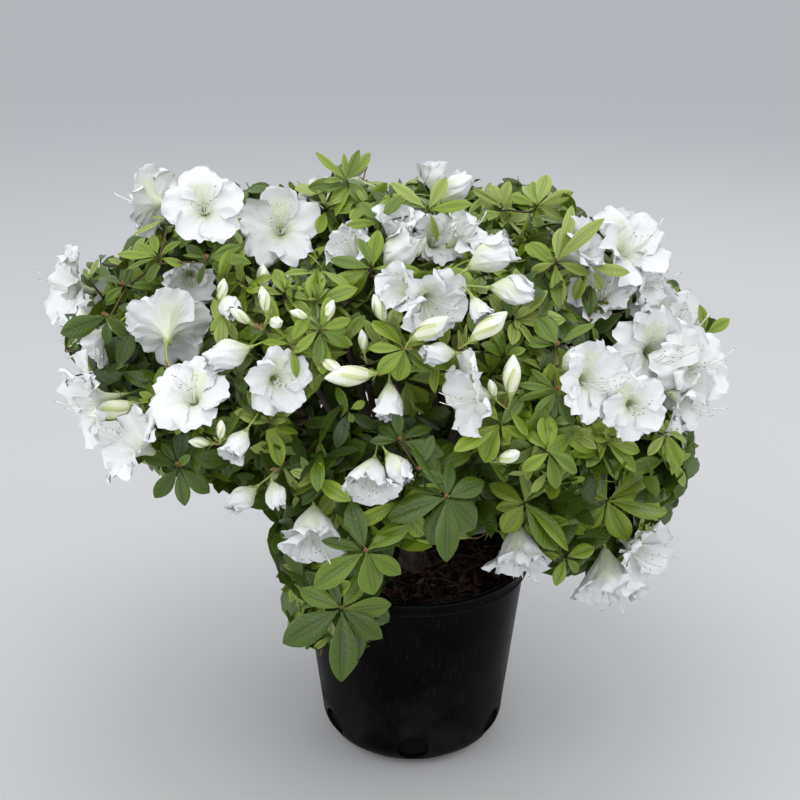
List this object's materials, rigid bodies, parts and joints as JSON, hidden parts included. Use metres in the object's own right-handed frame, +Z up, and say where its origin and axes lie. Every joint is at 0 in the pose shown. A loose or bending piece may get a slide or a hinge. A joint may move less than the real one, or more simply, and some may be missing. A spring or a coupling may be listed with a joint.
{
  "type": "azalea shrub in a nursery pot",
  "caption": "Evergreen shrub with a low open dome of small leaves and white funnel-shaped flowers on thin forking stems, growing in a tapered round nursery pot.",
  "frame": {"origin": "middle of the pot's flat underside", "axes": "+Z up along the pot's axis, -Y towards the front of the shrub, +X to the right seen from the front"},
  "size_m": [0.6498, 0.5546, 0.61],
  "materials": {
    "pot_plastic": "satin",
    "bark_compost": "matte",
    "bark": "matte",
    "leaves": "satin",
    "blossom": "satin"
  },
  "bodies": {
    "root": {"bough_crest_1": "bark", "bough_crest_2": "bark", "bough_crest_3": "bark", "bough_flank_1": "bark", "bough_flank_10": "bark", "bough_flank_11": "bark", "bough_flank_2": "bark", "bough_flank_3": "bark", "bough_flank_4": "bark", "bough_flank_5": "bark", "bough_flank_6": "bark", "bough_flank_7": "bark", "bough_flank_8": "bark", "bough_flank_9": "bark", "bough_shoulder_1": "bark", "bough_shoulder_2": "bark", "bough_shoulder_3": "bark", "bough_shoulder_4": "bark", "bough_shoulder_5": "bark", "bough_shoulder_6": "bark", "bough_shoulder_7": "bark", "bough_shoulder_8": "bark", "bough_skirt_back_left": "bark", "bough_skirt_back_right": "bark", "bough_skirt_front_left": "bark", "bough_skirt_front_right": "bark", "bough_skirt_right": "bark", "foliage_crest_1": "leaves", "foliage_crest_2": "leaves", "foliage_crest_3": "leaves", "foliage_flank_1": "leaves", "foliage_flank_10": "leaves", "foliage_flank_11": "leaves", "foliage_flank_2": "leaves", "foliage_flank_3": "leaves", "foliage_flank_4": "leaves", "foliage_flank_5": "leaves", "foliage_flank_6": "leaves", "foliage_flank_7": "leaves", "foliage_flank_8": "leaves", "foliage_flank_9": "leaves", "foliage_shoulder_1": "leaves", "foliage_shoulder_2": "leaves", "foliage_shoulder_3": "leaves", "foliage_shoulder_4": "leaves", "foliage_shoulder_5": "leaves", "foliage_shoulder_6": "leaves", "foliage_shoulder_7": "leaves", "foliage_shoulder_8": "leaves", "foliage_skirt_back_left": "leaves", "foliage_skirt_back_right": "leaves", "foliage_skirt_front_left": "leaves", "foliage_skirt_front_right": "leaves", "foliage_skirt_right": "leaves", "pot": "pot_plastic", "root_ball": "bark_compost", "stem": "bark"}
  },
  "joints": []
}
